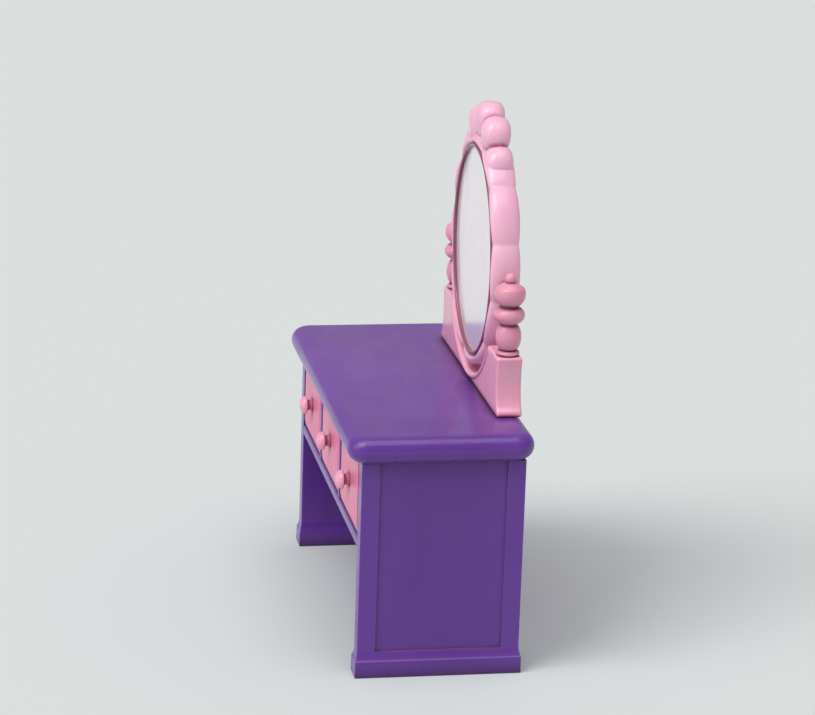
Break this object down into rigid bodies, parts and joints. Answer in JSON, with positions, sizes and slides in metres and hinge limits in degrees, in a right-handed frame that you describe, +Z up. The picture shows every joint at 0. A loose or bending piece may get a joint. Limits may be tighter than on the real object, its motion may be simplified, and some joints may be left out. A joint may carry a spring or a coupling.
{
  "type": "miniature dressing table",
  "caption": "Doll's-house dressing table: purple table on end panels with a row of small pink drawers and a pink-framed oval mirror tilting between turned posts.",
  "frame": {"origin": "on the floor under the middle of the table's footprint", "axes": "+X along the table to its right end as a sitter sees it, -Y towards the front with the drawers, +Z up"},
  "size_m": [0.08, 0.0344, 0.0996],
  "materials": {
    "purple_plastic": "satin-gloss moulded polystyrene",
    "drawer_plastic": "satin-gloss moulded polystyrene",
    "pink_plastic": "gloss moulded polystyrene",
    "mirror_foil": "silvered plastic sheet"
  },
  "bodies": {
    "table": {"top_board": "purple_plastic", "left_end_panel": "purple_plastic", "right_end_panel": "purple_plastic", "back_panel": "purple_plastic", "drawer_shelf": "purple_plastic", "front_rail": "purple_plastic", "left_partition": "purple_plastic", "right_partition": "purple_plastic", "mirror_stand": "pink_plastic", "left_mirror_post": "pink_plastic", "right_mirror_post": "pink_plastic"},
    "left_drawer": {"left_drawer_tray": "drawer_plastic", "left_drawer_front": "drawer_plastic", "left_drawer_knob": "drawer_plastic"},
    "centre_drawer": {"centre_drawer_tray": "drawer_plastic", "centre_drawer_front": "drawer_plastic", "centre_drawer_knob": "drawer_plastic"},
    "right_drawer": {"right_drawer_tray": "drawer_plastic", "right_drawer_front": "drawer_plastic", "right_drawer_knob": "drawer_plastic"},
    "mirror": {"mirror_frame": "pink_plastic", "mirror_sheet": "mirror_foil", "mirror_back": "pink_plastic", "left_pivot_pin": "pink_plastic", "right_pivot_pin": "pink_plastic"}
  },
  "joints": [
    {"name": "left_drawer_slide", "type": "slide", "parent": "table", "child": "left_drawer", "axis": [0, -1, 0], "range_m": [0, 0.018]},
    {"name": "centre_drawer_slide", "type": "slide", "parent": "table", "child": "centre_drawer", "axis": [0, -1, 0], "range_m": [0, 0.018]},
    {"name": "right_drawer_slide", "type": "slide", "parent": "table", "child": "right_drawer", "axis": [0, -1, 0], "range_m": [0, 0.018]},
    {"name": "mirror_tilt", "type": "hinge", "parent": "table", "child": "mirror", "pos_m": [0, 0.0142, 0.0685], "axis": [1, 0, 0], "range_deg": [-25, 20]}
  ]
}
